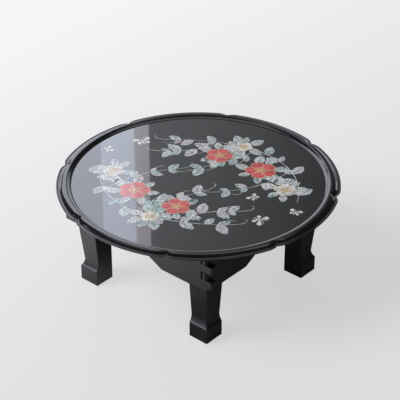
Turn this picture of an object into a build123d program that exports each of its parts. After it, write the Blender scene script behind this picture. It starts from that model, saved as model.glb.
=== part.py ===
from build123d import *
import math
import os

# Round lacquered low table. A lobed rim stands around a sunk round panel. Under the panel four
# aprons with proud finger-jointed corners make a square frame. Each leg is a solid post on a
# butt hinge and folds inward, along the side of the frame and below it.
# Millimetres, +Z up. The origin is on the floor below the middle of the top.

# ---- whole table
table_height = 185.0        # floor to the crest of the rim
fit_gap = 0.1               # round a piece that is let into another

# ---- top
top_radius = 225.0          # widest radius of the lobes
lobe_count = 8
first_notch = 28.4          # degrees from +X; the lobes sit 5.9 degrees off the frame
notch_depth = 5.0
notch_half_angle = 4.5      # degrees, cusp to the end of the round shoulder
inner_cove_width = 6.7      # slope from the tray's edge up to the crest
crest_width = 6.0
crest_inset = 11.0          # widest outline in to the crest's outer edge
shoulder_inset = 8.5        # in to the edge of the sloped shoulder
shoulder_drop = 1.5
ledge_inset = 4.5           # in to the inner edge of the ledge
ledge_drop = 4.5
tray_depth = 4.5            # crest above the panel's face
cove_sag = 0.6              # hollow of the inner slope below its chord
panel_thickness = 7.5
rim_lift = 3.5              # underside of the panel up to the underside of the rim
rabbet_height = 2.0
flange_width = 4.7          # edge of the panel that reaches below the rim

# ---- frame
frame_side = 272.0          # outer side of the square
apron_thickness = 12.0
apron_depth = 74.5          # at the legs
shelf_length = 57.0         # level lower edge beside each leg
rise_length = 30.0
rise_height = 15.0          # middle of the lower edge above the level ends
finger_count = 5
heel_height = 6.5           # plain corner below the lowest finger
finger_proud = 8.3          # how far the square finger ends stand out of the side boards
round_proud = 0.6           # how far the round ones stand out of the front and back boards
tab_proud = 29.0            # longer end of the front board's lowest finger at the left
batten_width = 30.0
batten_thickness = 12.0
batten_place = 70.0         # middle of the table to the middle of a batten
batten_gap = 0.5
batten_screw_place = 60.0
batten_screw_length = 16.0

# ---- legs
leg_width = 36.0
leg_gap = 0.3               # top of a leg below the frame
ankle_setback = 5.0
ankle_height = 40.5
foot_height = 26.5
foot_lift = 1.0             # underside of the foot above the floor
pad_radius = 12.0
pad_thickness = 3.0

# ---- hinges, magnets and screws
hinge_margin = 2.0          # end of the hinge in from the block's side
hinge_offset = 0.5          # axis out of the leg's face and below the block
leaf_width = 24.0
leaf_thickness = 1.2
knuckle_radius = 2.2
knuckle_count = 5
knuckle_gap = 0.3
swing_gap = 0.5
pin_radius = 1.0
pin_gap = 0.05
magnet_radius = 5.0
magnet_height = 3.0
magnet_sink = 0.2           # face of a magnet below the wood
fold_magnet_place = 44.5    # hinge axis to the magnets that meet when folded
screw_radius = 1.1
screw_head_radius = 2.4
screw_length = 12.0
screw_tip = 2.5
screw_gap = 0.05
screw_first = 9.0           # hinge axis to the first screw
screw_step = 8.0
screw_side = 5.0            # screws to either side of the leaf's middle
slot_width = 0.7
slot_depth = 0.5

# ---- places worked out from them
panel_top = table_height - tray_depth
panel_bottom = panel_top - panel_thickness
rim_bottom = panel_bottom + rim_lift
flange_top = rim_bottom + rabbet_height
crest_inner = top_radius - crest_inset - crest_width
tray_radius = crest_inner - inner_cove_width
flange_radius = tray_radius + flange_width
shoulder_top = table_height - shoulder_drop
ledge_top = table_height - ledge_drop
frame_half = frame_side / 2
board_in = frame_half - apron_thickness
frame_bottom = panel_bottom - apron_depth
finger_start = frame_bottom + heel_height
finger_pitch = (panel_bottom - finger_start) / finger_count
leg_top = frame_bottom - leg_gap
leg_in = frame_half - leg_width
leg_middle = frame_half - leg_width / 2
shelf_end = leg_in - shelf_length
rise_end = shelf_end - rise_length
hinge_y = leg_in - hinge_offset
hinge_z = frame_bottom - hinge_offset
hinge_low = leg_in + hinge_margin
hinge_high = board_in - hinge_margin
hinge_x = (hinge_low + hinge_high) / 2
knuckle_pitch = (hinge_high - hinge_low) / knuckle_count
frame_knuckles = range(0, knuckle_count, 2)
leg_knuckles = range(1, knuckle_count, 2)
magnet_place = (leg_in + board_in) / 2
swap_xy = Plane(origin=(0, 0, 0), z_dir=(1, -1, 0))
corners = {"front_left": (-1, -1), "front_right": (1, -1), "back_left": (-1, 1), "back_right": (1, 1)}


def block(x, y, z):
    """Box between a low and a high place on each axis."""
    middle = Pos((x[0] + x[1]) / 2, (y[0] + y[1]) / 2, (z[0] + z[1]) / 2)
    return middle * Box(x[1] - x[0], y[1] - y[0], z[1] - z[0])


def rod_x(x, y, z, radius):
    """Cylinder along X between two places."""
    return Pos((x[0] + x[1]) / 2, y, z) * Rot(0, 90, 0) * Cylinder(radius, x[1] - x[0])


def rod_z(x, y, z, radius):
    """Upright cylinder between two heights."""
    return Pos(x, y, (z[0] + z[1]) / 2) * Cylinder(radius, z[1] - z[0])


def lines(*points):
    """Straight edges from point to point."""
    return [Line(a, b) for a, b in zip(points, points[1:])]


def at_corner(shape, corner):
    """Move a piece drawn at the back right corner to another corner."""
    side_x, side_y = corners[corner]
    if side_x < 0:
        shape = mirror(shape, about=Plane.YZ)
    if side_y < 0:
        shape = mirror(shape, about=Plane.XZ)
    return shape


# ---- top
def lobed_face(inset):
    """Outline of the lobes, set in from the widest one by an even step."""
    radius = top_radius - inset
    cusp = radius - notch_depth
    half = math.radians(notch_half_angle)
    reach = cusp * math.cos(half)
    shoulder = (radius**2 + cusp**2 - 2 * radius * reach) / (2 * (radius - reach))
    centre_x = (radius - shoulder) * math.cos(half)
    centre_y = -(radius - shoulder) * math.sin(half)
    bend = (math.atan2(-centre_y, cusp - centre_x) - half) / 2
    corner = Vector(radius * math.cos(half), -radius * math.sin(half))
    swell = Vector(centre_x + shoulder * math.cos(bend), centre_y + shoulder * math.sin(bend))
    tip = Vector(cusp, 0)
    pitch = 360 / lobe_count
    edges = []
    for index in range(lobe_count):
        turn = first_notch + index * pitch
        places = [
            corner,
            swell,
            tip,
            Vector(swell.X, -swell.Y),
            Vector(corner.X, -corner.Y),
            Vector(radius, 0).rotate(Axis.Z, pitch / 2),
            corner.rotate(Axis.Z, pitch),
        ]
        places = [place.rotate(Axis.Z, turn) for place in places]
        edges.append(ThreePointArc(places[0], places[1], places[2]))
        edges.append(ThreePointArc(places[2], places[3], places[4]))
        edges.append(ThreePointArc(places[4], places[5], places[6]))
    return make_face(Wire(edges))


def cove(start, end):
    """Hollow arc between two points of the rim's section."""
    run = end[0] - start[0]
    rise = end[1] - start[1]
    length = math.hypot(run, rise)
    middle_x = (start[0] + end[0]) / 2 + cove_sag * rise / length
    middle_y = (start[1] + end[1]) / 2 - cove_sag * run / length
    return ThreePointArc(start, (middle_x, middle_y), end)


def lobed_slope(low_inset, high_inset, low, high):
    """Slab of the lobed outline whose side slopes from one inset to another."""
    lower = Pos(0, 0, low) * lobed_face(low_inset)
    upper = Pos(0, 0, high) * lobed_face(high_inset)
    return loft([lower, upper], ruled=True)


def rim_ring():
    """Ledge, cove and shoulder of the lobed outline, with the tray and the rabbet turned out."""
    rabbet = flange_radius + fit_gap
    below = rim_bottom - 1
    above = table_height + 1
    edges = lines((0, above), (0, below), (rabbet, below), (rabbet, flange_top))
    edges += lines((rabbet, flange_top), (tray_radius, flange_top), (tray_radius, panel_top))
    edges.append(cove((tray_radius, panel_top), (crest_inner, table_height)))
    edges += lines((crest_inner, table_height), (crest_inner, above), (0, above))
    tray = revolve(Plane.XZ * make_face(Wire(edges)), axis=Axis.Z)
    ring = Pos(0, 0, rim_bottom) * extrude(lobed_face(0), amount=ledge_top - rim_bottom)
    ring += lobed_slope(ledge_inset, shoulder_inset, ledge_top, shoulder_top)
    ring += lobed_slope(shoulder_inset, crest_inset, shoulder_top, table_height)
    return ring - tray


def top_panel():
    """Round panel with a flange below the rim and holes for the batten screws."""
    face = rod_z(0, 0, (panel_bottom, panel_top), tray_radius - fit_gap)
    flange = rod_z(0, 0, (panel_bottom, flange_top), flange_radius)
    panel = face + flange
    for place in batten_screw_places():
        panel -= place * screw_hole(batten_screw_length)
    return panel


# ---- frame
def both_ends(reach, z):
    """Blocks that lengthen both ends of the board on the +Y side."""
    end = block((board_in, reach), (board_in, frame_half), z)
    return end + mirror(end, about=Plane.YZ)


def apron(first_finger, rounded):
    """Board on the +Y side with a raised middle and fingers at both ends."""
    points = [
        (-board_in, panel_bottom),
        (-board_in, frame_bottom),
        (-shelf_end, frame_bottom),
        (-rise_end, frame_bottom + rise_height),
        (rise_end, frame_bottom + rise_height),
        (shelf_end, frame_bottom),
        (board_in, frame_bottom),
        (board_in, panel_bottom),
        (-board_in, panel_bottom),
    ]
    side = Plane.XZ * make_face(Wire(lines(*points)))
    board = Pos(0, board_in, 0) * extrude(side, amount=-apron_thickness)
    reach = frame_half + (round_proud if rounded else finger_proud)
    end_radius = apron_thickness / 2
    for level in range(first_finger, finger_count, 2):
        low = finger_start + level * finger_pitch
        z = (low, low + finger_pitch)
        if rounded:
            straight = reach - end_radius
            board += both_ends(straight, z)
            board += rod_z(straight, frame_half - end_radius, z, end_radius)
            board += rod_z(-straight, frame_half - end_radius, z, end_radius)
        else:
            board += both_ends(reach, z)
    if not rounded:
        board += both_ends(frame_half, (frame_bottom, finger_start))
    return board


def corner_block():
    """Block glued into a corner, cut out for the fixed half of the hinge and two magnets."""
    body = block((leg_in, board_in), (shelf_end, board_in), (frame_bottom, panel_bottom))
    body -= block(
        (hinge_low - fit_gap, hinge_high + fit_gap),
        (hinge_y - leaf_width - fit_gap, hinge_y),
        (frame_bottom - 1, frame_bottom + leaf_thickness),
    )
    body -= barrel_space()
    for place in frame_screw_places():
        body -= place * screw_hole(screw_length)
    for y in (magnet_place, hinge_y - fold_magnet_place):
        pocket = (frame_bottom - 1, frame_bottom + magnet_sink + magnet_height)
        body -= rod_z(magnet_place, y, pocket, magnet_radius + fit_gap)
    return body


def frame_magnets():
    """Two disc magnets of one corner, set into the underside of its block."""
    low = frame_bottom + magnet_sink
    z = (low, low + magnet_height)
    return [rod_z(magnet_place, y, z, magnet_radius) for y in (magnet_place, hinge_y - fold_magnet_place)]


def batten(side):
    """Cross batten under the panel."""
    middle = side * batten_place
    half = batten_width / 2
    reach = leg_in - batten_gap
    z = (panel_bottom - batten_thickness, panel_bottom)
    bar = block((-reach, reach), (middle - half, middle + half), z)
    for place in batten_screw_places():
        bar -= place * screw_hole(batten_screw_length)
    return bar


# ---- screws
def screw(length):
    """Countersunk screw pointing up from the flat of its slotted head."""
    body = rod_z(0, 0, (0, length - screw_tip), screw_radius)
    body += Pos(0, 0, leaf_thickness / 2) * Cone(screw_head_radius, screw_radius, leaf_thickness)
    body += Pos(0, 0, length - screw_tip / 2) * Cone(screw_radius, screw_radius / 4, screw_tip)
    return body - Box(3 * screw_head_radius, slot_width, 2 * slot_depth)


def screw_hole(length):
    """Room for a screw, open below its head."""
    wide = screw_head_radius + screw_gap
    narrow = screw_radius + screw_gap
    hole = rod_z(0, 0, (0, length + screw_gap), narrow)
    hole += Pos(0, 0, leaf_thickness / 2) * Cone(wide, narrow, leaf_thickness)
    return hole + rod_z(0, 0, (-1, 0), wide)


def batten_screw_places():
    """Heads on the undersides of both battens."""
    low = panel_bottom - batten_thickness
    return [
        Pos(x, side * batten_place, low)
        for side in (-1, 1)
        for x in (-batten_screw_place, 0, batten_screw_place)
    ]


def frame_screw_places():
    """Heads on the face of the fixed leaf, which looks down."""
    return [
        Pos(hinge_x - screw_side, hinge_y - screw_first, frame_bottom),
        Pos(hinge_x + screw_side, hinge_y - screw_first - screw_step, frame_bottom),
    ]


def leg_screw_places():
    """Heads on the face of the leg's leaf, which looks to the middle of the table."""
    return [
        Pos(hinge_x + screw_side, leg_in, hinge_z - screw_first) * Rot(-90, 0, 0),
        Pos(hinge_x - screw_side, leg_in, hinge_z - screw_first - screw_step) * Rot(-90, 0, 0),
    ]


# ---- hinge
def barrel_space():
    """Room in the wood for the hinge's barrel."""
    reach = (hinge_low - knuckle_gap, hinge_high + knuckle_gap)
    return rod_x(reach, hinge_y, hinge_z, knuckle_radius + swing_gap)


def with_knuckles(plate, own, others):
    """Join a leaf's own knuckles and cut away the room of the other leaf's."""
    for index in others:
        low = hinge_low + index * knuckle_pitch
        plate -= rod_x((low, low + knuckle_pitch), hinge_y, hinge_z, knuckle_radius + knuckle_gap)
    for index in own:
        low = hinge_low + index * knuckle_pitch + knuckle_gap / 2
        high = low + knuckle_pitch - knuckle_gap
        plate += rod_x((low, high), hinge_y, hinge_z, knuckle_radius)
    bore = (hinge_low - 1, hinge_high + 1)
    return plate - rod_x(bore, hinge_y, hinge_z, pin_radius + pin_gap)


def frame_leaf():
    """Fixed half of the hinge, let into the underside of the corner block."""
    plate = block(
        (hinge_low, hinge_high),
        (hinge_y - leaf_width, hinge_y),
        (frame_bottom, frame_bottom + leaf_thickness),
    )
    leaf = with_knuckles(plate, frame_knuckles, leg_knuckles)
    for place in frame_screw_places():
        leaf -= place * screw_hole(screw_length)
    return leaf


def leg_leaf():
    """Moving half of the hinge, let into the leg's inner face."""
    plate = block(
        (hinge_low, hinge_high),
        (leg_in, leg_in + leaf_thickness),
        (hinge_z - leaf_width, hinge_z),
    )
    leaf = with_knuckles(plate, leg_knuckles, frame_knuckles)
    for place in leg_screw_places():
        leaf -= place * screw_hole(screw_length)
    return leaf


def hinge_pin():
    """Pin through all the knuckles."""
    return rod_x((hinge_low, hinge_high), hinge_y, hinge_z, pin_radius)


# ---- legs
def leg():
    """Solid post: straight inner faces, outer faces drawn in above a square foot."""
    drop = ankle_height - foot_height
    bow = (ankle_setback**2 + drop**2) / (2 * ankle_setback)
    bow_x = frame_half - ankle_setback + bow
    angle = math.pi + math.atan2(drop, bow_x - frame_half) / 2
    hollow = (bow_x + bow * math.cos(angle), ankle_height + bow * math.sin(angle))
    foot_corner = (frame_half, foot_height)
    ankle = (frame_half - ankle_setback, ankle_height)
    edges = lines((leg_in, foot_lift), (frame_half, foot_lift), foot_corner)
    edges.append(ThreePointArc(foot_corner, hollow, ankle))
    edges += lines(ankle, (frame_half, leg_top), (leg_in, leg_top), (leg_in, foot_lift))
    side = Plane.XZ * make_face(Wire(edges))
    post = Pos(0, leg_in, 0) * extrude(side, amount=-leg_width)
    post = post & mirror(post, about=swap_xy)
    post -= rod_z(leg_middle, leg_middle, (foot_lift - 1, pad_thickness), pad_radius + fit_gap)
    post -= block(
        (hinge_low - fit_gap, hinge_high + fit_gap),
        (leg_in - 1, leg_in + leaf_thickness),
        (hinge_z - leaf_width - fit_gap, leg_top + 1),
    )
    post -= barrel_space()
    for place in leg_screw_places():
        post -= place * screw_hole(screw_length)
    top_pocket = (leg_top - magnet_sink - magnet_height, leg_top + 1)
    post -= rod_z(magnet_place, magnet_place, top_pocket, magnet_radius + fit_gap)
    face_pocket = rod_z(0, 0, (-1, magnet_sink + magnet_height), magnet_radius + fit_gap)
    return post - Pos(magnet_place, leg_in, hinge_z - fold_magnet_place) * Rot(-90, 0, 0) * face_pocket


def leg_magnets():
    """Disc magnets of one leg: one in its top and one in its inner face."""
    high = leg_top - magnet_sink
    standing = rod_z(magnet_place, magnet_place, (high - magnet_height, high), magnet_radius)
    face = Pos(magnet_place, leg_in, hinge_z - fold_magnet_place) * Rot(-90, 0, 0)
    folded = face * rod_z(0, 0, (magnet_sink, magnet_sink + magnet_height), magnet_radius)
    return [standing, folded]


def foot_pad():
    """Felt disc let into the foot, which stands on the floor."""
    return rod_z(leg_middle, leg_middle, (0, pad_thickness), pad_radius)


def group(shapes):
    """Several loose pieces of one kind as one node."""
    return Compound(children=list(shapes))


def save(name, shape):
    """Write one node."""
    export_step(shape, "parts/" + name + ".step")


os.makedirs("parts", exist_ok=True)
save("top_panel", top_panel())
save("rim_ring", rim_ring())
back = apron(0, False)
right = mirror(apron(1, True), about=swap_xy)
save("apron_back", back)
tab_height = (finger_start, finger_start + finger_pitch)
tab = block((-frame_half - tab_proud, -frame_half), (-frame_half, -board_in), tab_height)
save("apron_front", mirror(back, about=Plane.XZ) + tab)
save("apron_right", right)
save("apron_left", mirror(right, about=Plane.YZ))
save("batten_front", batten(-1))
save("batten_back", batten(1))
save("batten_screws", group(place * screw(batten_screw_length) for place in batten_screw_places()))

pieces = {
    "corner_block": corner_block(),
    "frame_leaf": frame_leaf(),
    "hinge_pin": hinge_pin(),
    "leg": leg(),
    "leg_leaf": leg_leaf(),
    "foot_pad": foot_pad(),
}
frame_screws = [place * screw(screw_length) for place in frame_screw_places()]
leg_screws = [place * screw(screw_length) for place in leg_screw_places()]
for corner in corners:
    for kind, shape in pieces.items():
        save(kind + "_" + corner, at_corner(shape, corner))
    save("leg_hinge_screws_" + corner, group(at_corner(shape, corner) for shape in leg_screws))
    save("leg_magnets_" + corner, group(at_corner(shape, corner) for shape in leg_magnets()))
save("frame_hinge_screws", group(at_corner(shape, corner) for corner in corners for shape in frame_screws))
save("frame_magnets", group(at_corner(shape, corner) for corner in corners for shape in frame_magnets()))
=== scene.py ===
"""Round low table: lobed tray top with inlaid sprays, finger-jointed frame and folding posts."""

import bpy
import bmesh
import math
import random

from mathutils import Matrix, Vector


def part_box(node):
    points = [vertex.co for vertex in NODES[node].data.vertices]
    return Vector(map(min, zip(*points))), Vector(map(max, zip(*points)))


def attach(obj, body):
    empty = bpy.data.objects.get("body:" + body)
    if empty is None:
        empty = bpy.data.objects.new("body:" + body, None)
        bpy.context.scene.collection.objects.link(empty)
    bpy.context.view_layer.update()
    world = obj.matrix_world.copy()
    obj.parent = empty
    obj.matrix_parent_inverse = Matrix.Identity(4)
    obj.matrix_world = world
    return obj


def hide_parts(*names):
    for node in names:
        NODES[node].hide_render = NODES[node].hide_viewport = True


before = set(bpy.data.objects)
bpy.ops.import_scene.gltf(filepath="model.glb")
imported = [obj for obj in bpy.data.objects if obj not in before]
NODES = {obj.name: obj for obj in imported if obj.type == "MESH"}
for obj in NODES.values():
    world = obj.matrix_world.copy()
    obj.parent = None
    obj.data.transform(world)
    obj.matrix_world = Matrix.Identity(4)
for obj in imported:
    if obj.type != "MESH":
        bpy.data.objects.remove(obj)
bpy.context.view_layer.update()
CORNERS = {
    "front_left": (-1, -1),
    "front_right": (1, -1),
    "back_left": (-1, 1),
    "back_right": (1, 1),
}
SIDES = ("front", "back", "left", "right")

bl_info = {
    "name": "Lacquered Low Table",
    "version": (1, 0, 0),
    "blender": (4, 5, 0),
    "location": "View3D > Sidebar > Low Table",
    "description": "Builds the finished surfaces of a round lacquered low table",
    "category": "Object",
}

# ---- meshes: gaps in metres, turns between neighbouring faces, and counts of steps
WELD_GAP = 0.000005
FLAT_TURN = math.radians(1)
SHARP_TURN = math.radians(20)
SMOOTH_TURN = math.radians(32)
RIM_SMOOTH_TURN = math.radians(38)
SEAM_GAP = 0.0001  # an edge this close to the seam's height belongs to the seam
BEVEL_STEPS = 3
OUTER_REACH = 0.0056  # how far in from a post's outer faces its edges are softened
NOTCH_STEPS = 14
LOBE_STEPS = 22

# ---- inlay: widths and steps in metres, and heights as shares of the inlay's height
INLAY_WELD_GAP = 0.00001
LEVEL_STEP = 0.000003  # neighbouring groups lie this far apart, so that none share a plane
LEVELS = 8
PROUD = {"stems": 1.0, "leaves": 1.2, "fliers": 1.3, "plates": 1.4, "petals": 1.7, "hearts": 2.0}
LINE = {"stem": 0.0011, "tip": 0.0008, "curl": 0.0007, "stamen": 0.0006, "fine": 0.0005}
SPRAY_SEEDS = {1: 11, -1: 5}
LEAF_LENGTHS = {"stem": (0.021, 0.030), "blossom": (0.018, 0.028)}
LEAF_WIDTHS = {"stem": 0.29, "smaller": 0.2, "blossom": 0.3}  # as shares of a leaf's length
SMALLER_LEAF = 0.72
CURL_LENGTH, TIP_LENGTH = 0.034, 0.045
LEAVES_ROUND_BLOSSOM = 7

# ---- finishes: clear coat, relief in metres, and scales, where a larger one is a finer pattern
COAT_ROUGHNESS = 0.02
RELIEF_DEPTH = 0.0004
CLOUD_SCALE, RUB_SCALE = 14, 420
STREAK_SCALE = 330
LACQUER_SCALE, LACQUER_LIGHTER = 9, 1.9

# ---- stage: directions on the floor as the camera sees them, heights and distances in metres
ACROSS = (0.7526, 0.6584)
AWAY = (-0.6584, 0.7526)
CAMERA_TURN = math.atan2(ACROSS[1], ACROSS[0])
CAMERA_SPOT = (1.340, -1.528, 1.411)
CAMERA_AIM = (-0.5587, 0.6386, -0.5292)
LENS, SENSOR = 135, 36
FLOOR_SIZE = 16
PANE_BACK = 1.7
UPPER_TIER = (0.90, 2.2)
PARAPET_TIER = (0.45, 0.90)
LOW_TIER = (0.02, 0.45)
FRONT_TIER = (0.30, 1.00)
FRONT_BACK, FRONT_SWING = -0.3, math.radians(85)
CEILING_BACK, CEILING_HEIGHT, CEILING_SPAN = 0.45, 2.7, (3.4, 1.5, 1)
SUN_STRENGTH, SUN_WIDTH, SUN_AIM = 2.5, math.radians(35), (0.42, 0.62, -0.66)
ROOM_LIGHT, ROOM_IN_MIRRORS = 0.32, 0.06
PALE_BLUE = (0.80, 0.86, 1.0)
PARAPET_WHITE = (0.9, 0.93, 1.0)
WALL_WHITE = (0.92, 0.95, 1.0)
ROOM_WHITE = (0.95, 0.96, 1.0)
LOW_WHITE = (0.96, 0.97, 1.0)


def length_setting(name, description, default):
    """Length that a user can change."""
    return bpy.props.FloatProperty(
        name=name, description=description, default=default, unit="LENGTH"
    )


def angle_setting(name, description, degrees):
    """Angle that a user can change."""
    return bpy.props.FloatProperty(
        name=name, description=description, default=math.radians(degrees), subtype="ANGLE"
    )


def colour_setting(name, description, default):
    """Colour that a user can change."""
    return bpy.props.FloatVectorProperty(
        name=name, description=description, default=default, subtype="COLOR", size=3
    )


class LowTableSizes(bpy.types.PropertyGroup):
    """Sizes of the finished surfaces, in metres."""

    top_radius: length_setting("Top radius", "Widest radius of the lobes", 0.225)
    notch_depth: length_setting("Notch depth", "Depth of each notch", 0.005)
    notch_angle: angle_setting("Notch half angle", "Notch to shoulder", 4.5)
    first_notch: angle_setting("First notch", "Turn of the first notch", 28.4)
    lobes: bpy.props.IntProperty(name="Lobes", description="Number of lobes", default=8, min=3)
    panel_top: length_setting("Panel height", "Floor to the sunk panel", 0.1805)
    edge_round: length_setting("Edge rounding", "Softening of the wooden edges", 0.0008)
    inlay_height: length_setting("Inlay height", "How far the stems stand proud", 0.00012)
    spray_turn: angle_setting("Spray turn", "Turn of both sprays", 41.2)
    blossom_size: length_setting("Blossom size", "Radius of a large blossom", 0.0245)


class LowTableColours(bpy.types.PropertyGroup):
    """Colours of the finishes."""

    lacquer: colour_setting("Lacquer", "Black lacquer", (0.0045, 0.0045, 0.0052))
    coral: colour_setting("Coral", "Red petals", (0.60, 0.030, 0.042))
    gold: colour_setting("Gold", "Fine lines", (0.62, 0.42, 0.18))
    pearl: colour_setting("Pearl", "Pale nacre", (0.70, 0.70, 0.65))
    floor: colour_setting("Floor", "Pale floor", (0.20, 0.20, 0.203))


def sizes():
    """Sizes of this scene's table."""
    return bpy.context.scene.low_table_sizes


def colours():
    """Colours of this scene's table."""
    return bpy.context.scene.low_table_colours


# ---- mesh helpers
def activate(obj):
    """Make one object the only selected and active one."""
    bpy.ops.object.select_all(action="DESELECT")
    obj.select_set(True)
    bpy.context.view_layer.objects.active = obj


def object_of(name, mesh):
    """New active object that takes over a finished mesh."""
    data = bpy.data.meshes.new(name)
    mesh.to_mesh(data)
    mesh.free()
    obj = bpy.data.objects.new(name, data)
    bpy.context.scene.collection.objects.link(obj)
    activate(obj)
    return obj


def merged_copy(node):
    """Joined-up copy of a CAD node's mesh, with its flat faces dissolved."""
    obj = bpy.data.objects.new("soft_" + node, NODES[node].data.copy())
    obj.data.materials.clear()
    bpy.context.scene.collection.objects.link(obj)
    activate(obj)
    bpy.ops.object.mode_set(mode="EDIT")
    bpy.ops.mesh.select_all(action="SELECT")
    bpy.ops.mesh.remove_doubles(threshold=WELD_GAP)
    bpy.ops.mesh.dissolve_limited(angle_limit=FLAT_TURN)
    bpy.ops.mesh.select_all(action="DESELECT")
    bpy.ops.object.mode_set(mode="OBJECT")
    return obj


def soften(obj, picked, width, seam):
    """Round the sharp edges whose ends pass the test, save at the seam's height; shade evenly."""
    mesh = bmesh.new()
    mesh.from_mesh(obj.data)
    mesh.select_mode = {"EDGE"}
    for edge in mesh.edges:
        sharp = len(edge.link_faces) == 2 and edge.calc_face_angle(0) > SHARP_TURN
        on_seam = all(abs(vert.co.z - seam) < SEAM_GAP for vert in edge.verts)
        wanted = all(picked(vert.co) for vert in edge.verts)
        edge.select = sharp and edge.is_convex and wanted and not on_seam
    mesh.select_flush_mode()
    mesh.to_mesh(obj.data)
    mesh.free()
    activate(obj)
    bpy.ops.object.mode_set(mode="EDIT")
    bpy.ops.mesh.select_mode(type="EDGE")
    bpy.ops.mesh.bevel(offset=width, segments=BEVEL_STEPS, profile=0.5, clamp_overlap=True)
    bpy.ops.mesh.select_all(action="DESELECT")
    bpy.ops.object.mode_set(mode="OBJECT")
    bpy.ops.object.shade_smooth_by_angle(angle=SMOOTH_TURN)
    even = obj.modifiers.new("even_shade", "WEIGHTED_NORMAL")
    even.keep_sharp = True
    bpy.ops.object.modifier_apply(modifier=even.name)


def from_outlines(name, groups, height):
    """Flat inlay from groups of closed outlines; neighbouring groups lie a hair apart in height."""
    mesh = bmesh.new()
    for number, outlines in enumerate(groups):
        base = sizes().panel_top + LEVEL_STEP * (number % LEVELS)
        for outline in outlines:
            face = mesh.faces.new([mesh.verts.new((x, y, base)) for x, y in outline])
            face.normal_update()
            if face.normal.z < 0:
                face.normal_flip()
    obj = object_of(name, mesh)
    bpy.ops.object.mode_set(mode="EDIT")
    bpy.ops.mesh.select_all(action="SELECT")
    bpy.ops.mesh.remove_doubles(threshold=INLAY_WELD_GAP)
    bpy.ops.mesh.select_all(action="SELECT")
    bpy.ops.mesh.extrude_region_move(TRANSFORM_OT_translate={"value": (0, 0, height)})
    bpy.ops.mesh.select_all(action="SELECT")
    bpy.ops.mesh.normals_make_consistent(inside=False)
    bpy.ops.object.mode_set(mode="OBJECT")
    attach(obj, "tabletop")
    return obj


# ---- inlay: outlines in the plane of the panel
def placed(points, place, turn):
    """Turn an outline and move it to its place."""
    along, across = math.cos(turn), math.sin(turn)
    return [
        (place[0] + x * along - y * across, place[1] + x * across + y * along) for x, y in points
    ]


def disc(radius, corners):
    """Outline of a round spot about the middle."""
    turns = [2 * math.pi * step / corners for step in range(corners)]
    return [(radius * math.cos(turn), radius * math.sin(turn)) for turn in turns]


def curve(points, steps=22):
    """Points along a smooth bow between the first and last of four."""
    bow = []
    for step in range(steps + 1):
        t = step / steps
        shares = ((1 - t) ** 3, 3 * t * (1 - t) ** 2, 3 * t * t * (1 - t), t**3)
        pulls = list(zip(shares, points))
        bow.append(tuple(sum(share * point[axis] for share, point in pulls) for axis in (0, 1)))
    return bow


def heading(path, index):
    """Direction of a path at one of its points."""
    before, after = path[max(index - 1, 0)], path[min(index + 1, len(path) - 1)]
    return math.atan2(after[1] - before[1], after[0] - before[0])


def thread(path, width):
    """Thin line of inlay along a path, tapered to its ends."""
    blunt, taper = 0.35, 3
    left, right = [], []
    for index, (x, y) in enumerate(path):
        turn = heading(path, index)
        from_end = min(index, len(path) - 1 - index)
        half = width / 2 * min(1, blunt + taper * from_end / len(path))
        left.append((x - half * math.sin(turn), y + half * math.cos(turn)))
        right.append((x + half * math.sin(turn), y - half * math.cos(turn)))
    return [(right[i], right[i + 1], left[i + 1], left[i]) for i in range(len(path) - 1)]


def tendril(start, turn, length, curl):
    """Path that sways as it sets out and curls up at its end."""
    steps, sway, sway_pace, wind = 44, 6, 7, 260
    path, step = [start], length / steps
    for index in range(steps):
        share = index / steps
        turn += curl * step * (sway * math.sin(sway_pace * share) + wind * share**3)
        path.append((path[-1][0] + step * math.cos(turn), path[-1][1] + step * math.sin(turn)))
    return path


def leaf(place, turn, length, width):
    """Pointed leaf of slanting slips on both sides of its midrib."""
    slips_a_side, filled, slant = 5, 0.84, 0.15
    inner_gap, outer_gap, lean, fullness = 0.00028, 0.0003, 0.85, 0.8
    slips = []
    for side in (-1, 1):
        for index in range(slips_a_side):
            start, end = index / slips_a_side, (index + filled) / slips_a_side
            slip = [(length * t, side * inner_gap) for t in (start, end)]
            for step in (3, 2, 1, 0):
                t = slant + (1 - slant) * (start + (end - start) * step / 3)
                bulge = width * math.sin(math.pi * t**lean) ** fullness
                slip.append((length * t, side * (outer_gap + bulge)))
            slips.append(placed(slip, place, turn))
    return slips


def petal(radius, spread, notch=0.0):
    """Broad petal along +X with a dimple in its edge."""
    steps, root, droop, squareness, dimple = 9, 0.12, 0.26, 2.8, 0.17
    edge = [(root * radius, 0)]
    for step in range(-steps, steps + 1):
        t = step / steps
        dip = notch * math.exp(-((t / dimple) ** 2))
        reach = radius * (1 - droop * abs(t) ** squareness - dip)
        edge.append((reach * math.cos(spread * t), reach * math.sin(spread * t)))
    return edge


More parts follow.
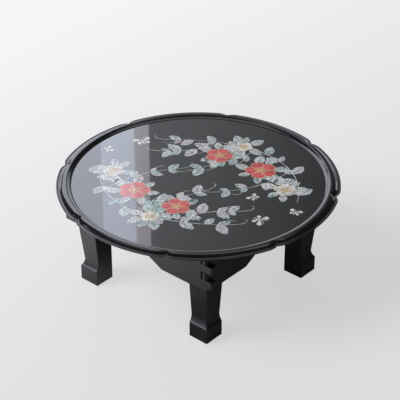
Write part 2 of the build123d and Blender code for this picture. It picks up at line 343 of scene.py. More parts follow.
def blossom(place, turn, radius):
    """Petals, the gold plate that edges them, and the gold of the heart."""
    count, petal_share, petal_notch = 5, 0.475, 0.05
    plate_size, plate_share, plate_notch = 1.05, 0.499, 0.045
    eye_size, stamen_spread, anther_size = 0.12, 0.34, 0.0009
    pitch = 2 * math.pi / count
    turns = [turn + index * pitch for index in range(count)]
    flat_petal = petal(radius, pitch * petal_share, petal_notch)
    petals = [placed(flat_petal, place, around) for around in turns]
    flat_edge = petal(radius * plate_size, pitch * plate_share, plate_notch)[1:]
    plate = []
    for around in turns:
        plate += placed(flat_edge, place, around)

    def ray(way, shares):
        """Points from the middle outwards, at shares of the radius."""
        return [
            (place[0] + radius * t * math.cos(way), place[1] + radius * t * math.sin(way))
            for t in shares
        ]

    heart = [[placed(disc(radius * eye_size, 12), place, 0)]]
    for around in turns:
        heart.append(thread(ray(around, (0.5, 0.64, 0.78, 0.88)), LINE["fine"]))
        for offset in (-stamen_spread, 0, stamen_spread):
            stamen = ray(around + offset, (0.14, 0.22, 0.30, 0.36))
            heart.append(thread(stamen, LINE["stamen"]))
            heart.append([placed(disc(anther_size, 8), stamen[-1], 0)])
    return petals, [plate], heart


def flier(place, turn, span):
    """Small insect with four wings, a body and feelers."""
    wings = ((0.95, 1.0, 0.36), (2.15, 0.72, 0.40))
    bends = ((0.25, 0), (0.5, 0.1), (0.7, 0.2), (0.75, 0.4))
    shapes = []
    for side in (-1, 1):
        for around, reach, spread in wings:
            shapes.append([placed(petal(span * reach, spread), place, turn + side * around)])
        feeler = curve([(x * span, side * y * span) for x, y in bends], 8)
        shapes.append(thread(placed(feeler, place, turn), LINE["fine"]))
    body = [(span * (0.5 * x - 0.12), span * 0.09 * y) for x, y in disc(1, 16)]
    return shapes + [[placed(body, place, turn)]]


def spray(turn, hand):
    """Outlines of one spray: stems, leaves, coral and pale petals, gold plates and hearts."""
    parts = {"stems": [], "leaves": [], "coral": [], "pale": [], "plates": [], "hearts": []}
    chance = random.Random(SPRAY_SEEDS[hand])
    main_stem = curve([(-0.152, 0.070), (-0.178, -0.050), (-0.100, -0.128), (0.040, -0.130)], 40)
    upper = curve([main_stem[13], (-0.140, -0.012), (-0.096, 0.026), (-0.040, 0.034)])
    middle = curve([main_stem[25], (-0.092, -0.078), (-0.052, -0.064), (0.002, -0.036)])
    lower = curve([main_stem[32], (-0.030, -0.108), (0.010, -0.090), (0.052, -0.092)])
    leafy = (
        (main_stem, (3, 7, 11, 17, 21, 29, 33, 37, 39)),
        (upper, (7, 12, 17, 21)),
        (middle, (8, 12, 17, 21)),
        (lower, (8, 13, 18, 21)),
    )
    blossoms = (
        ((-0.100, -0.030), 0.0, 1.0, "coral"),
        ((-0.034, -0.078), 0.5, 0.9, "coral"),
        ((-0.136, 0.030), 0.9, 0.72, "pale"),
        ((-0.074, -0.106), 0.2, 0.62, "pale"),
    )

    def own(point):
        """A point turned with its spray."""
        return placed([point], (0, 0), turn)[0]

    for path, places in leafy:
        parts["stems"].append(thread([own(point) for point in path], LINE["stem"]))
        for number, index in enumerate(places):
            side = 1 if number % 2 else -1
            root = own(path[index])
            away = heading(path, index) + side * chance.uniform(0.5, 1.1)
            length = chance.uniform(*LEAF_LENGTHS["stem"])
            width = length * LEAF_WIDTHS["stem"]
            parts["leaves"].append(leaf(root, away + turn, length, width))
            if number % 3 != 1:
                width = length * LEAF_WIDTHS["smaller"]
                smaller = leaf(root, away + turn - side * 1.5, length * SMALLER_LEAF, width)
                parts["leaves"].append(smaller)
            if number % 2 == 0:
                lie = heading(path, index) - side * 0.7 + turn
                curl = tendril(root, lie, CURL_LENGTH, side)
                parts["stems"].append(thread(curl, LINE["curl"]))
        tip = tendril(own(path[-1]), heading(path, len(path) - 1) + turn, TIP_LENGTH, hand)
        parts["stems"].append(thread(tip, LINE["tip"]))
    for place, around, share, kind in blossoms:
        radius = sizes().blossom_size * share
        petals, plate, heart = blossom(own(place), around + turn, radius)
        parts[kind].append(petals)
        parts["plates"].append(plate)
        parts["hearts"] += heart
        edge = radius * 0.84
        for step in range(LEAVES_ROUND_BLOSSOM):
            way = around + 0.6 + step * 0.9 + chance.uniform(-0.2, 0.2)
            root = own((place[0] + edge * math.cos(way), place[1] + edge * math.sin(way)))
            length = chance.uniform(*LEAF_LENGTHS["blossom"])
            lie = way + turn + chance.uniform(-0.5, 0.5)
            parts["leaves"].append(leaf(root, lie, length, length * LEAF_WIDTHS["blossom"]))
    return parts


def both_sprays(kind):
    """Outlines of one kind from both sprays."""
    turn = sizes().spray_turn
    return spray(turn, 1)[kind] + spray(turn + math.pi, -1)[kind]


# ---- finishes
def new_node(tree, kind, values=(), **settings):
    """Node with its settings and the values of its inputs."""
    node = tree.nodes.new(kind)
    for name, value in settings.items():
        setattr(node, name, value)
    for label, value in dict(values).items():
        node.inputs[label].default_value = value
    return node


def new_ramp(tree, stops):
    """Ramp of colours through stops of position and colour."""
    ramp = tree.nodes.new("ShaderNodeValToRGB")
    elements = ramp.color_ramp.elements
    while len(elements) < len(stops):
        elements.new(0.5)
    for element, (position, colour) in zip(elements, stops):
        element.position = position
        element.color = (*colour, 1)
    return ramp


def new_group(name, inputs, outputs):
    """Empty shader group with named sockets."""
    group = bpy.data.node_groups.new(name, "ShaderNodeTree")
    for label, kind in inputs:
        group.interface.new_socket(label, in_out="INPUT", socket_type=kind)
    for label, kind in outputs:
        group.interface.new_socket(label, in_out="OUTPUT", socket_type=kind)
    start = group.nodes.new("NodeGroupInput")
    end = group.nodes.new("NodeGroupOutput")
    return group, start, end


def polish_group():
    """Faint unevenness of a polished surface: cloudy gloss and fine rubbing marks."""
    name = "Polish"
    if name in bpy.data.node_groups:
        return bpy.data.node_groups[name]
    number = "NodeSocketFloat"
    inputs = [("Vector", "NodeSocketVector"), ("Gloss", number), ("Cloud", number)]
    group, start, end = new_group(name, inputs, [("Roughness", number), ("Height", number)])
    cloud = new_node(group, "ShaderNodeTexNoise", {"Scale": CLOUD_SCALE, "Detail": 4})
    fine = new_node(group, "ShaderNodeTexNoise", {"Scale": RUB_SCALE, "Detail": 2})
    amount = new_node(group, "ShaderNodeMath", operation="MULTIPLY_ADD")
    link = group.links.new
    link(start.outputs["Vector"], cloud.inputs["Vector"])
    link(start.outputs["Vector"], fine.inputs["Vector"])
    link(cloud.outputs["Fac"], amount.inputs[0])
    link(start.outputs["Cloud"], amount.inputs[1])
    link(start.outputs["Gloss"], amount.inputs[2])
    link(amount.outputs[0], end.inputs["Roughness"])
    link(fine.outputs["Fac"], end.inputs["Height"])
    return group


def finish(name, colour, gloss, cloud, bump, coat=0.0, metallic=0.0):
    """Material with its polish; returns it with its node tree, its shader and its coordinates."""
    material = bpy.data.materials.new(name)
    material.use_nodes = True
    tree = material.node_tree
    shader = tree.nodes["Principled BSDF"]
    shader.inputs["Base Color"].default_value = (*colour, 1)
    shader.inputs["Metallic"].default_value = metallic
    shader.inputs["Coat Weight"].default_value = coat
    shader.inputs["Coat Roughness"].default_value = COAT_ROUGHNESS
    place = new_node(tree, "ShaderNodeTexCoord")
    shares = {"Gloss": gloss, "Cloud": cloud}
    polish = new_node(tree, "ShaderNodeGroup", shares, node_tree=polish_group())
    relief = new_node(tree, "ShaderNodeBump", {"Strength": bump, "Distance": RELIEF_DEPTH})
    tree.links.new(place.outputs["Object"], polish.inputs["Vector"])
    tree.links.new(polish.outputs["Roughness"], shader.inputs["Roughness"])
    tree.links.new(polish.outputs["Height"], relief.inputs["Height"])
    tree.links.new(relief.outputs["Normal"], shader.inputs["Normal"])
    return material, tree, shader, place


def mottled(name, tones, scale, spread=(0.3, 0.7), **polish):
    """Material whose colour wanders between a dark and a light tone."""
    material, tree, shader, place = finish(name, tones[0], **polish)
    pattern = new_node(tree, "ShaderNodeTexNoise", {"Scale": scale})
    ramp = new_ramp(tree, list(zip(spread, tones)))
    tree.links.new(place.outputs["Object"], pattern.inputs["Vector"])
    tree.links.new(pattern.outputs["Fac"], ramp.inputs["Fac"])
    tree.links.new(ramp.outputs["Color"], shader.inputs["Base Color"])
    return material


def toned(colour, share, lift=0.0):
    """Colour made darker or lighter by a share and a lift."""
    return tuple(min(1, channel * share + lift) for channel in colour)


def lacquer(name, gloss, cloud, bump, coat=0.0, painted_light_share=1.0):
    """Black lacquer at one level of polish, with a slight cloudiness of colour; a share above 1
    makes it lighter as painted light.
    """
    base = toned(colours().lacquer, painted_light_share)
    tones = (base, toned(base, LACQUER_LIGHTER))
    polish = {"gloss": gloss, "cloud": cloud, "bump": bump, "coat": coat}
    return mottled(name, tones, LACQUER_SCALE, (0.35, 0.7), **polish)


def nacre_group():
    """Colours of nacre: broad patches of tint crossed by fine bright and dark streaks."""
    name = "Nacre Play"
    if name in bpy.data.node_groups:
        return bpy.data.node_groups[name]
    number = "NodeSocketFloat"
    inputs = [("Vector", "NodeSocketVector"), ("Patch", number), ("Tint", number)]
    group, start, end = new_group(name, inputs, [("Color", "NodeSocketColor")])
    patches = new_node(group, "ShaderNodeTexNoise", {"Detail": 1.5, "Distortion": 0.8})
    tints = new_ramp(group, (
        (0.32, (0.05, 0.27, 0.31)),
        (0.42, (0.24, 0.42, 0.44)),
        (0.50, (0.56, 0.58, 0.60)),
        (0.60, (0.36, 0.35, 0.47)),
        (0.70, (0.58, 0.40, 0.45)),
    ))
    pearl = {"A": (*colours().pearl, 1)}
    blend = new_node(group, "ShaderNodeMix", pearl, data_type="RGBA")
    streaks = new_node(group, "ShaderNodeTexVoronoi", {"Scale": STREAK_SCALE})
    span = {"From Min": 0.1, "From Max": 0.9, "To Min": 0.55, "To Max": 1.35}
    bands = new_node(group, "ShaderNodeMapRange", span)
    shade = new_node(group, "ShaderNodeVectorMath", operation="SCALE")
    link = group.links.new
    link(start.outputs["Vector"], patches.inputs["Vector"])
    link(start.outputs["Patch"], patches.inputs["Scale"])
    link(start.outputs["Vector"], streaks.inputs["Vector"])
    link(patches.outputs["Fac"], tints.inputs["Fac"])
    link(start.outputs["Tint"], blend.inputs["Factor"])
    link(tints.outputs["Color"], blend.inputs["B"])
    link(streaks.outputs["Color"], bands.inputs["Value"])
    link(blend.outputs["Result"], shade.inputs[0])
    link(bands.outputs["Result"], shade.inputs["Scale"])
    link(shade.outputs["Vector"], end.inputs["Color"])
    return group


def nacre(name, patch, tint):
    """Polished nacre under clear lacquer, with finer or broader patches of more or less tint."""
    polish = {"gloss": 0.28, "cloud": 0.15, "bump": 0.1, "coat": 1.0}
    material, tree, shader, place = finish(name, colours().pearl, **polish)
    shares = {"Patch": patch, "Tint": tint}
    play = new_node(tree, "ShaderNodeGroup", shares, node_tree=nacre_group())
    tree.links.new(place.outputs["Object"], play.inputs["Vector"])
    tree.links.new(play.outputs["Color"], shader.inputs["Base Color"])
    return material


def paint(objects, material):
    """Give objects one material."""
    for obj in objects:
        obj.data.materials.clear()
        obj.data.materials.append(material)


# ---- outline and section of the top
def lobe_radius(inset, angle):
    """Radius of the lobed outline at an angle, set in by an even step."""
    size = sizes()
    radius = size.top_radius - inset
    cusp = radius - size.notch_depth
    half = size.notch_angle
    pitch = 2 * math.pi / size.lobes
    offset = abs((angle - size.first_notch + pitch / 2) % pitch - pitch / 2)
    if offset >= half:
        return radius
    reach = cusp * math.cos(half)
    shoulder = (radius**2 + cusp**2 - 2 * radius * reach) / (2 * (radius - reach))
    centre = radius - shoulder
    swing = half - offset
    return centre * math.cos(swing) + math.sqrt(shoulder**2 - (centre * math.sin(swing)) ** 2)


def cove(start, end, sag, steps=7):
    """Points of a hollow slope between two corners, without the corners."""
    run, rise = end[0] - start[0], end[1] - start[1]
    length = math.hypot(run, rise)
    for step in range(1, steps):
        t = step / steps
        dip = sag * 4 * t * (1 - t)
        yield start[0] + run * t + dip * rise / length, start[1] + rise * t - dip * run / length


def rim_section():
    """Section of the rim: radius or inset, whether it is an inset of the lobes, height."""
    seat = [(0.2061, 0.1765), (0.2061, 0.1785), (0.2013, 0.1785), (0.2013, 0.1805)]
    crest_start = (0.2074, 0.1844)
    slope = list(cove(seat[-1], crest_start, 0.0006))
    crest = [crest_start, (0.2078, 0.1846), (0.2085, 0.1848), (0.2095, 0.18495), (0.2105, 0.1850)]
    shoulder = [(0.0112, 0.1850), (0.0108, 0.18492), (0.0104, 0.1848)]
    outer_slope = [(0.0084, 0.1837), (0.0080, 0.1834), (0.0064, 0.1814), (0.0056, 0.1806)]
    ledge = [(0.0048, 0.1801), (0.0040, 0.1800), (0.0031, 0.18008), (0.0022, 0.1803)]
    lip = [(0.0016, 0.18045), (0.0010, 0.1805), (0.0005, 0.1804), (0.0001, 0.1801), (0, 0.1798)]
    undercut = [(0.0001, 0.1795), (0.0005, 0.1792), (0.0016, 0.1787), (0.0028, 0.1779)]
    undercut += [(0.0036, 0.1770), (0.0040, 0.1765)]
    round_part = [(radius, False, height) for radius, height in seat + slope + crest]
    lobed = shoulder + outer_slope + ledge + lip + undercut
    return round_part + [(inset, True, height) for inset, height in lobed]


def rim_angles():
    """Where the section is repeated: closely through each notch, widely along each lobe."""
    size = sizes()
    half = size.notch_angle
    pitch = 2 * math.pi / size.lobes
    open_run = pitch - 2 * half
    angles = []
    for lobe in range(size.lobes):
        notch = size.first_notch + lobe * pitch
        across_notch = range(-NOTCH_STEPS, NOTCH_STEPS + 1)
        angles += [notch + half * (step / NOTCH_STEPS) for step in across_notch]
        angles += [notch + half + open_run * step / LOBE_STEPS for step in range(1, LOBE_STEPS)]
    return angles


class LOWTABLE_OT_rim(bpy.types.Operator):
    """Build the lobed rim with its inner slope, crest, shoulder, outer slope, ledge and lip"""

    bl_idname = "low_table.rim"
    bl_label = "Rim"

    def execute(self, context):
        section = rim_section()
        mesh = bmesh.new()
        rings = []
        for angle in rim_angles():
            ring = []
            for value, is_inset, height in section:
                radius = lobe_radius(value, angle) if is_inset else value
                spot = (radius * math.cos(angle), radius * math.sin(angle), height)
                ring.append(mesh.verts.new(spot))
            rings.append(ring)
        for index, ring in enumerate(rings):
            following = rings[(index + 1) % len(rings)]
            for step in range(len(section)):
                after = (step + 1) % len(section)
                mesh.faces.new((ring[step], following[step], following[after], ring[after]))
        rim = object_of("lobed_rim", mesh)
        bpy.ops.object.mode_set(mode="EDIT")
        bpy.ops.mesh.select_all(action="SELECT")
        bpy.ops.mesh.normals_make_consistent(inside=False)
        bpy.ops.object.mode_set(mode="OBJECT")
        bpy.ops.object.shade_smooth_by_angle(angle=RIM_SMOOTH_TURN)
        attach(rim, "tabletop")
        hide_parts("rim_ring")
        paint([rim], lacquer("Rim Lacquer", gloss=0.12, cloud=0.08, bump=0.02, coat=0.5))
        return {"FINISHED"}


class LOWTABLE_OT_panel(bpy.types.Operator):
    """Polish the sunk panel to a mirror"""

    bl_idname = "low_table.panel"
    bl_label = "Panel"

    def execute(self, context):
        mirror = lacquer("Mirror Lacquer", gloss=0.025, cloud=0.02, bump=0.0, coat=1.0)
        paint([NODES["top_panel"]], mirror)
        return {"FINISHED"}


class LOWTABLE_OT_stems(bpy.types.Operator):
    """Inlay the stems and tendrils in thin pale lines"""

    bl_idname = "low_table.stems"
    bl_label = "Stems"

    def execute(self, context):
        height = sizes().inlay_height * PROUD["stems"]
        stems = from_outlines("stems", both_sprays("stems"), height)
        paint([stems], nacre("Nacre Lines", patch=60, tint=0.35))
        return {"FINISHED"}


class LOWTABLE_OT_leaves(bpy.types.Operator):
    """Inlay the leaves in slips of nacre"""

    bl_idname = "low_table.leaves"
    bl_label = "Leaves"

    def execute(self, context):
        height = sizes().inlay_height * PROUD["leaves"]
        leaves = from_outlines("leaves", both_sprays("leaves"), height)
        paint([leaves], nacre("Leaf Nacre", patch=42, tint=0.62))
        return {"FINISHED"}


class LOWTABLE_OT_blossoms(bpy.types.Operator):
    """Inlay coral and pale blossoms, edged and veined in gold"""

    bl_idname = "low_table.blossoms"
    bl_label = "Blossoms"

    def execute(self, context):
        height = sizes().inlay_height
        plates = from_outlines("gold_edges", both_sprays("plates"), height * PROUD["plates"])
        hearts = from_outlines("gold_hearts", both_sprays("hearts"), height * PROUD["hearts"])
        tones = (toned(colours().gold, 0.7), tuple(colours().gold))
        polish = {"gloss": 0.3, "cloud": 0.1, "bump": 0.1, "coat": 1.0}
        paint([plates, hearts], mottled("Gold Lines", tones, 300, (0.3, 0.6), **polish))
        coral = from_outlines("coral_petals", both_sprays("coral"), height * PROUD["petals"])
        tones = (toned(colours().coral, 0.72), toned(colours().coral, 1.15, 0.03))
        polish = {"gloss": 0.3, "cloud": 0.1, "bump": 0.05, "coat": 1.0}
        paint([coral], mottled("Coral", tones, 90, **polish))
        pale = from_outlines("pale_petals", both_sprays("pale"), height * PROUD["petals"])
        paint([pale], nacre("Pale Nacre", patch=70, tint=0.25))
        return {"FINISHED"}


class LOWTABLE_OT_fliers(bpy.types.Operator):
    """Inlay a few small fliers in the open parts of the panel"""

    bl_idname = "low_table.fliers"
    bl_label = "Fliers"

    def execute(self, context):
        turn = sizes().spray_turn
        shapes = []
        for place, around, span in (
            ((-0.092, 0.124), 1.9, 0.017),
            ((-0.148, 0.098), 0.4, 0.011),
            ((0.092, -0.116), -0.6, 0.016),
            ((0.086, -0.052), 2.4, 0.012),
            ((0.148, -0.096), 1.1, 0.012),
        ):
            shapes += flier(placed([place], (0, 0), turn)[0], around + turn, span)
        fliers = from_outlines("fliers", shapes, sizes().inlay_height * PROUD["fliers"])
        paint([fliers], nacre("Flier Nacre", patch=70, tint=0.2))
        return {"FINISHED"}


class LOWTABLE_OT_aprons(bpy.types.Operator):
    """Soften the boards of the frame and lacquer them"""

    bl_idname = "low_table.aprons"
    bl_label = "Aprons"

    def execute(self, context):
        # Painted light: the frame's lacquer is 1.5 times lighter than the legs', standing in for
        # light that reaches the boards under the rim.
        satin = lacquer("Frame Lacquer", gloss=0.26, cloud=0.12, bump=0.05, painted_light_share=1.5)
        for side in SIDES:
            node = "apron_" + side
            board = merged_copy(node)
            soften(board, lambda co: True, sizes().edge_round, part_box(node)[0].z)
            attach(board, "tabletop")
            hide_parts(node)
            paint([board], satin)
        return {"FINISHED"}


class LOWTABLE_OT_legs(bpy.types.Operator):
    """Soften the four posts and lacquer them"""

    bl_idname = "low_table.legs"
    bl_label = "Legs"

    def execute(self, context):
        satin = lacquer("Leg Lacquer", gloss=0.24, cloud=0.10, bump=0.06)
        for corner, (side_x, side_y) in CORNERS.items():
            node = "leg_" + corner
            post = merged_copy(node)
            low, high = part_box(node)

            def outside(co, sx=side_x, sy=side_y, low=low, high=high):
                """Whether a point lies near either outer face of its post."""
                by_x = (high.x - co.x if sx > 0 else co.x - low.x) < OUTER_REACH
                by_y = (high.y - co.y if sy > 0 else co.y - low.y) < OUTER_REACH
                return by_x or by_y

            soften(post, outside, sizes().edge_round, high.z)
            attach(post, corner + "_leg")
            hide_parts(node)
            paint([post], satin)
        return {"FINISHED"}


class LOWTABLE_OT_underside(bpy.types.Operator):
    """Stain the blocks and battens, and finish the pads"""

    bl_idname = "low_table.underside"
    bl_label = "Blocks, battens and pads"

    def execute(self, context):
        tones = ((0.028, 0.017, 0.011), (0.075, 0.048, 0.030))
        wood = mottled("Stained Wood", tones, 60, gloss=0.55, cloud=0.2, bump=0.3)
        woods = [NODES["batten_front"], NODES["batten_back"]]
        paint(woods + [NODES["corner_block_" + corner] for corner in CORNERS], wood)
        tones = ((0.015, 0.015, 0.016), (0.05, 0.05, 0.052))
        felt = mottled("Felt", tones, 900, gloss=0.9, cloud=0.1, bump=0.8)
        paint([NODES["foot_pad_" + corner] for corner in CORNERS], felt)
        return {"FINISHED"}


class LOWTABLE_OT_hardware(bpy.types.Operator):
    """Finish the brass hinges and screws and the steel magnets"""

    bl_idname = "low_table.hardware"
    bl_label = "Hinges, screws and magnets"

    def execute(self, context):
        tones = ((0.45, 0.30, 0.12), (0.66, 0.48, 0.22))
        brass = mottled("Brass", tones, 200, gloss=0.25, cloud=0.2, bump=0.1, metallic=1.0)
        tones = ((0.007, 0.007, 0.008), (0.018, 0.018, 0.019))
        steel = mottled("Blackened Steel", tones, 150, gloss=0.35, cloud=0.15, bump=0.1)
        paint([node for name, node in NODES.items() if "magnets" in name], steel)
        words = ("leaf", "pin_", "screws")
        paint([node for name, node in NODES.items() if any(word in name for word in words)], brass)
        return {"FINISHED"}


# ---- stage
def glow_of(name, colour, left, right):
    """Glow of a pane, from one strength at its left side to another at its right."""
    glow = bpy.data.materials.new(name)
    glow.use_nodes = True
    tree = glow.node_tree
    strongest = max(left, right)
    shader = tree.nodes["Principled BSDF"]
    shader.inputs["Base Color"].default_value = (0, 0, 0, 1)
    shader.inputs["Specular IOR Level"].default_value = 0
    shader.inputs["Emission Strength"].default_value = strongest
    place = new_node(tree, "ShaderNodeTexCoord")
    apart = new_node(tree, "ShaderNodeSeparateXYZ")
    share = new_node(tree, "ShaderNodeMapRange", {"From Min": -0.5, "From Max": 0.5})
    ends = [[channel * strength / strongest for channel in colour] for strength in (left, right)]
    ramp = new_ramp(tree, list(zip((0, 1), ends)))
    tree.links.new(place.outputs["Object"], apart.inputs["Vector"])
    tree.links.new(apart.outputs["X"], share.inputs["Value"])
    tree.links.new(share.outputs["Result"], ramp.inputs["Fac"])
    tree.links.new(ramp.outputs["Color"], shader.inputs["Emission Color"])
    return glow


def pale_floor():
    """Pale floor that looks brighter to the camera and in reflections than the light it returns,
    with painted light falling off from its left to its right, and a painted reflection that is
    white at the camera's left of the table and black at its right.
    """
    polish = {"gloss": 0.75, "cloud": 0.1, "bump": 0.0}
    material, tree, shader, place = finish("Floor", colours().floor, **polish)
    shader.inputs["Specular IOR Level"].default_value = 0.1
    shader.inputs["Emission Strength"].default_value = 1
    apart = new_node(tree, "ShaderNodeSeparateXYZ")
    # Painted light: to the camera the floor's glow falls off from brighter at its left to darker at
    # its right.
    share = new_node(tree, "ShaderNodeMapRange", {"From Min": -0.9, "From Max": 0.25})
    painted_floor_falloff = new_ramp(tree, ((0, (0.735, 0.735, 0.745)), (1, (0.555, 0.555, 0.56))))
    # Painted reflection: in reflections the floor is near white to the camera's left of the table
    # and near black to its right, standing in for window light on one side and shade on the other.
    sideways = new_node(tree, "ShaderNodeVectorMath", {1: (*ACROSS, 0)}, operation="DOT_PRODUCT")
    near = new_node(tree, "ShaderNodeMapRange", {"From Min": -0.27, "From Max": -0.07})
    painted_floor_reflection = new_ramp(tree, ((0, (0.96, 0.97, 1.0)), (1, (0.03, 0.03, 0.03))))
    either = new_node(tree, "ShaderNodeMix", data_type="RGBA")
    rays = new_node(tree, "ShaderNodeLightPath")
    seen = new_node(tree, "ShaderNodeMath", operation="MAXIMUM")
    seen_through = new_node(tree, "ShaderNodeMath", operation="MAXIMUM")
    lit = new_node(tree, "ShaderNodeMix", {"A": (0, 0, 0, 1)}, data_type="RGBA")
    link = tree.links.new
    link(place.outputs["Object"], apart.inputs["Vector"])
    link(apart.outputs["X"], share.inputs["Value"])
    link(share.outputs["Result"], painted_floor_falloff.inputs["Fac"])
    link(place.outputs["Object"], sideways.inputs[0])
    link(sideways.outputs["Value"], near.inputs["Value"])
    link(near.outputs["Result"], painted_floor_reflection.inputs["Fac"])
    link(rays.outputs["Is Glossy Ray"], either.inputs["Factor"])
    link(painted_floor_falloff.outputs["Color"], either.inputs["A"])
    link(painted_floor_reflection.outputs["Color"], either.inputs["B"])
    link(rays.outputs["Is Camera Ray"], seen.inputs[0])
    link(rays.outputs["Is Glossy Ray"], seen.inputs[1])
    link(seen.outputs["Value"], seen_through.inputs[0])
    link(rays.outputs["Is Transmission Ray"], seen_through.inputs[1])
    link(seen_through.outputs["Value"], lit.inputs["Factor"])
    link(either.outputs["Result"], lit.inputs["B"])
    link(lit.outputs["Result"], shader.inputs["Emission Color"])
    return material


def add_plane(name, material, location, rotation=(0, 0, 0), size=1, scale=(1, 1, 1)):
    """Plane of the stage with its material."""
    bpy.ops.object.select_all(action="DESELECT")
    bpy.ops.mesh.primitive_plane_add(size=size, location=location, rotation=rotation)
    plane = bpy.context.object
    plane.name = name
    plane.scale = scale
    paint([plane], material)
    return plane


def stage_spot(side, back, height):
    """Place on the stage, from the camera's view: to the right, away and up."""
    return (AWAY[0] * back + ACROSS[0] * side, AWAY[1] * back + ACROSS[1] * side, height)


def hang_pane(name, glow, left, right, tier, back=PANE_BACK, swing=0.0):
    """Upright pane between two sides and two heights."""
    bottom, top = tier
    spot = stage_spot((left + right) / 2, back, (bottom + top) / 2)
    facing = (math.radians(90), 0, CAMERA_TURN + swing)
    return add_plane(name, glow, spot, facing, scale=(right - left, top - bottom, 1))


def hang_panes():
    """All glowing panes round the table, and the ceiling."""
    panes = []
    for name, label, colour, left, right, tier, glow_left, glow_right in (
        ("window_outer", "Outer Glow", (0.83, 0.85, 1.0), -1.60, -0.283, UPPER_TIER, 2.9, 2.45),
        ("window_wide", "Window Glow", (0.80, 0.85, 1.0), -0.283, -0.186, UPPER_TIER, 3.2, 3.0),
        ("window_edge", "Frame Glow", (0.95, 0.92, 1.0), -0.186, -0.1435, UPPER_TIER, 1.75, 1.6),
        ("far_wall", "Wall Glow", WALL_WHITE, -0.1435, 0.45, UPPER_TIER, 0.56, 0.13),
        ("side_wall", "Side Glow", WALL_WHITE, 0.45, 1.75, UPPER_TIER, 0.07, 0.05),
        ("parapet_left", "Parapet Left", PARAPET_WHITE, -1.60, -0.95, PARAPET_TIER, 0.1, 0.2),
        ("parapet_bright", "Parapet Bright", PARAPET_WHITE, -0.95, -0.30, PARAPET_TIER, 1.6, 1.3),
        ("parapet_middle", "Parapet Middle", PARAPET_WHITE, -0.30, 0.30, PARAPET_TIER, 0.5, 0.6),
        ("parapet_blue", "Parapet Blue", PALE_BLUE, 0.30, 1.00, PARAPET_TIER, 1.2, 1.0),
        ("parapet_right", "Parapet Right", PARAPET_WHITE, 1.00, 1.75, PARAPET_TIER, 0.05, 0.03),
        ("low_wall", "Low Glow", LOW_WHITE, -1.60, 1.75, LOW_TIER, 1.6, 1.1),
    ):
        glow = glow_of(label, colour, glow_left, glow_right)
        panes.append(hang_pane(name, glow, left, right, tier))
    glow = glow_of("Front Glow", PALE_BLUE, 5.0, 5.0)
    panes.append(hang_pane("front_window", glow, -2.45, -1.35, FRONT_TIER, FRONT_BACK, FRONT_SWING))
    glow = glow_of("Ceiling Glow", ROOM_WHITE, 1.3, 1.0)
    spot = stage_spot(0, CEILING_BACK, CEILING_HEIGHT)
    panes.append(add_plane("ceiling", glow, spot, (0, 0, CAMERA_TURN), scale=CEILING_SPAN))
    for pane in panes:
        pane.visible_camera = False
        pane.visible_diffuse = False
        pane.visible_shadow = False
    return panes


def aimed(direction):
    """Rotation of a lamp or camera that looks along a direction."""
    return Vector(direction).to_track_quat("-Z", "Y").to_euler()


def add_sun(scene):
    """Broad soft sun from the front left, unseen in reflections."""
    sun = bpy.data.lights.new("sun", "SUN")
    sun.energy = SUN_STRENGTH
    sun.angle = SUN_WIDTH
    holder = bpy.data.objects.new("sun", sun)
    holder.visible_glossy = False
    holder.rotation_euler = aimed(SUN_AIM)
    scene.collection.objects.link(holder)


def add_room(scene):
    """Even light of the room, dimmed in reflections."""
    world = bpy.data.worlds.new("Room")
    world.use_nodes = True
    tree = world.node_tree
    background = tree.nodes["Background"]
    background.inputs["Color"].default_value = (*ROOM_WHITE, 1)
    rays = new_node(tree, "ShaderNodeLightPath")
    strengths = {"To Min": ROOM_LIGHT, "To Max": ROOM_IN_MIRRORS}
    dimmer = new_node(tree, "ShaderNodeMapRange", strengths)
    tree.links.new(rays.outputs["Is Glossy Ray"], dimmer.inputs["Value"])
    tree.links.new(dimmer.outputs["Result"], background.inputs["Strength"])
    scene.world = world


def add_camera(scene):
    """Camera that looks down on the table from its front right."""
    view = bpy.data.cameras.new("view")
    view.lens = LENS
    view.sensor_width = SENSOR
    camera = bpy.data.objects.new("view", view)
    camera.location = CAMERA_SPOT
    camera.rotation_euler = aimed(CAMERA_AIM)
    scene.collection.objects.link(camera)
    scene.camera = camera


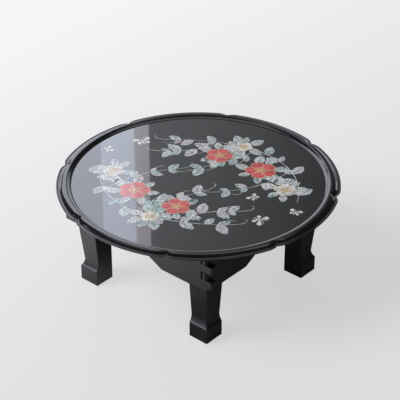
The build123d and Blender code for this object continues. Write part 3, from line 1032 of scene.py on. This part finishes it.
class LOWTABLE_OT_stage(bpy.types.Operator):
    """Set the pale floor, the glowing panes that the lacquer mirrors, the lights and the camera"""

    bl_idname = "low_table.stage"
    bl_label = "Stage"

    def execute(self, context):
        scene = context.scene
        scene.view_settings.view_transform = "Standard"
        floor = add_plane("floor", pale_floor(), (0, 0, 0), size=FLOOR_SIZE)
        panes = hang_panes()
        add_sun(scene)
        add_room(scene)
        add_camera(scene)
        return {"FINISHED"}


class LOWTABLE_PT_panel(bpy.types.Panel):
    """Steps of the low table"""

    bl_label = "Low Table"
    bl_idname = "LOWTABLE_PT_panel"
    bl_space_type = "VIEW_3D"
    bl_region_type = "UI"
    bl_category = "Low Table"

    def draw(self, context):
        for operator in OPERATORS:
            self.layout.operator(operator.bl_idname)
        for settings in (context.scene.low_table_sizes, context.scene.low_table_colours):
            for name in settings.__annotations__:
                self.layout.prop(settings, name)


OPERATORS = (
    LOWTABLE_OT_stage,
    LOWTABLE_OT_rim,
    LOWTABLE_OT_panel,
    LOWTABLE_OT_stems,
    LOWTABLE_OT_leaves,
    LOWTABLE_OT_blossoms,
    LOWTABLE_OT_fliers,
    LOWTABLE_OT_aprons,
    LOWTABLE_OT_legs,
    LOWTABLE_OT_underside,
    LOWTABLE_OT_hardware,
)
CLASSES = (LowTableSizes, LowTableColours) + OPERATORS + (LOWTABLE_PT_panel,)


def register():
    """Add the settings, the steps and the sidebar panel."""
    for cls in CLASSES:
        bpy.utils.register_class(cls)
    bpy.types.Scene.low_table_sizes = bpy.props.PointerProperty(type=LowTableSizes)
    bpy.types.Scene.low_table_colours = bpy.props.PointerProperty(type=LowTableColours)


def unregister():
    """Take the settings, the steps and the sidebar panel away."""
    del bpy.types.Scene.low_table_colours
    del bpy.types.Scene.low_table_sizes
    for cls in reversed(CLASSES):
        bpy.utils.unregister_class(cls)


def main():
    """Build the table step by step."""
    register()
    for operator in OPERATORS:
        family, name = operator.bl_idname.split(".")
        getattr(getattr(bpy.ops, family), name)()


if __name__ == "__main__":
    main()
